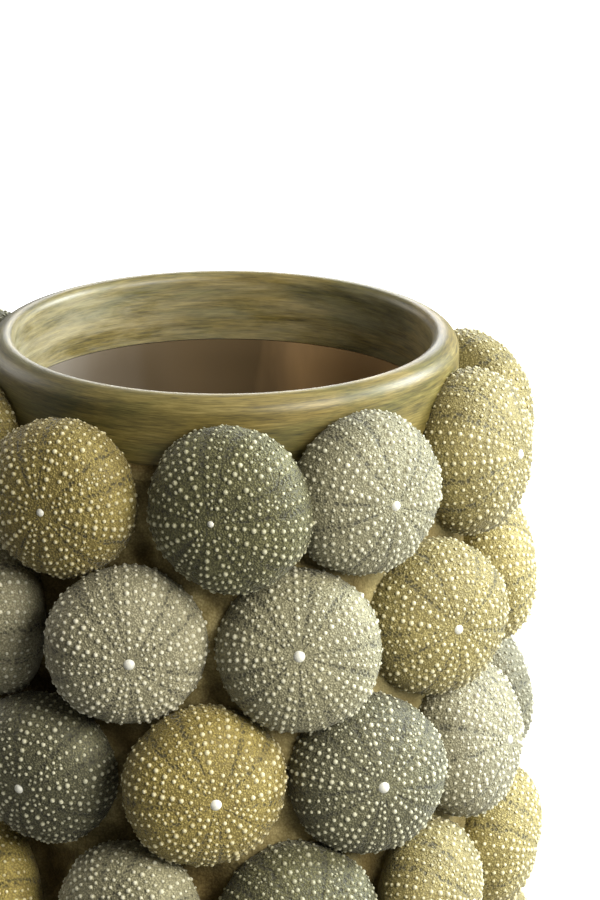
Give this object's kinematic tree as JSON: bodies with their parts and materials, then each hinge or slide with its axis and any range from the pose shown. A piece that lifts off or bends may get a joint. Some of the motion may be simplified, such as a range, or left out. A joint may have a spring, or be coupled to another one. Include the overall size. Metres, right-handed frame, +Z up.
{
  "type": "sea-urchin covered vase",
  "caption": "Wide-mouthed cylindrical vase with a rolled olive lip, its outside covered with staggered rows of domed sea-urchin tests set in mortar.",
  "frame": {"origin": "middle of the flat underside of the pot, on the surface it stands on", "axes": "+Z up along the vase's axis, -Y towards the viewer, +X to the viewer's right"},
  "size_m": [0.2624, 0.2665, 0.3085],
  "materials": {
    "umber_resin": "glossy brown cast resin",
    "mortar": "rough sandy filled resin",
    "olive_paint": "olive paint brushed on in level strokes, satin gloss",
    "urchin_ochre": "cast resin, ochre wash with pale raised beads, low sheen",
    "urchin_straw": "cast resin, pale straw yellow wash with pale raised beads, low sheen",
    "urchin_sage": "cast resin, dark grey-green wash with pale raised beads, low sheen",
    "urchin_stone": "cast resin, light grey-green wash with pale raised beads, low sheen",
    "urchin_tan": "cast resin, grey tan wash with pale raised beads, low sheen",
    "urchin_dusk": "cast resin, blue-grey wash with pale raised beads, low sheen"
  },
  "bodies": {
    "root": {"pot": "umber_resin", "mortar_bed": "mortar", "neck_collar": "olive_paint", "urchin_row1_01": "urchin_sage", "urchin_row1_02": "urchin_stone", "urchin_row1_03": "urchin_straw", "urchin_row1_04": "urchin_straw", "urchin_row1_05": "urchin_straw", "urchin_row1_06": "urchin_stone", "urchin_row1_07": "urchin_ochre", "urchin_row1_08": "urchin_dusk", "urchin_row1_09": "urchin_ochre", "urchin_row1_10": "urchin_ochre", "urchin_row2_01": "urchin_stone", "urchin_row2_02": "urchin_straw", "urchin_row2_03": "urchin_straw", "urchin_row2_04": "urchin_tan", "urchin_row2_05": "urchin_sage", "urchin_row2_06": "urchin_ochre", "urchin_row2_07": "urchin_stone", "urchin_row2_08": "urchin_dusk", "urchin_row2_09": "urchin_tan", "urchin_row2_10": "urchin_tan", "urchin_row3_01": "urchin_ochre", "urchin_row3_02": "urchin_dusk", "urchin_row3_03": "urchin_tan", "urchin_row3_04": "urchin_stone", "urchin_row3_05": "urchin_straw", "urchin_row3_06": "urchin_tan", "urchin_row3_07": "urchin_sage", "urchin_row3_08": "urchin_ochre", "urchin_row3_09": "urchin_straw", "urchin_row3_10": "urchin_dusk", "urchin_row4_01": "urchin_sage", "urchin_row4_02": "urchin_straw", "urchin_row4_03": "urchin_straw", "urchin_row4_04": "urchin_stone", "urchin_row4_05": "urchin_dusk", "urchin_row4_06": "urchin_tan", "urchin_row4_07": "urchin_straw", "urchin_row4_08": "urchin_stone", "urchin_row4_09": "urchin_ochre", "urchin_row4_10": "urchin_stone", "urchin_row5_01": "urchin_tan", "urchin_row5_02": "urchin_ochre", "urchin_row5_03": "urchin_stone", "urchin_row5_04": "urchin_straw", "urchin_row5_05": "urchin_sage", "urchin_row5_06": "urchin_dusk", "urchin_row5_07": "urchin_straw", "urchin_row5_08": "urchin_tan", "urchin_row5_09": "urchin_sage", "urchin_row5_10": "urchin_stone"}
  },
  "joints": []
}
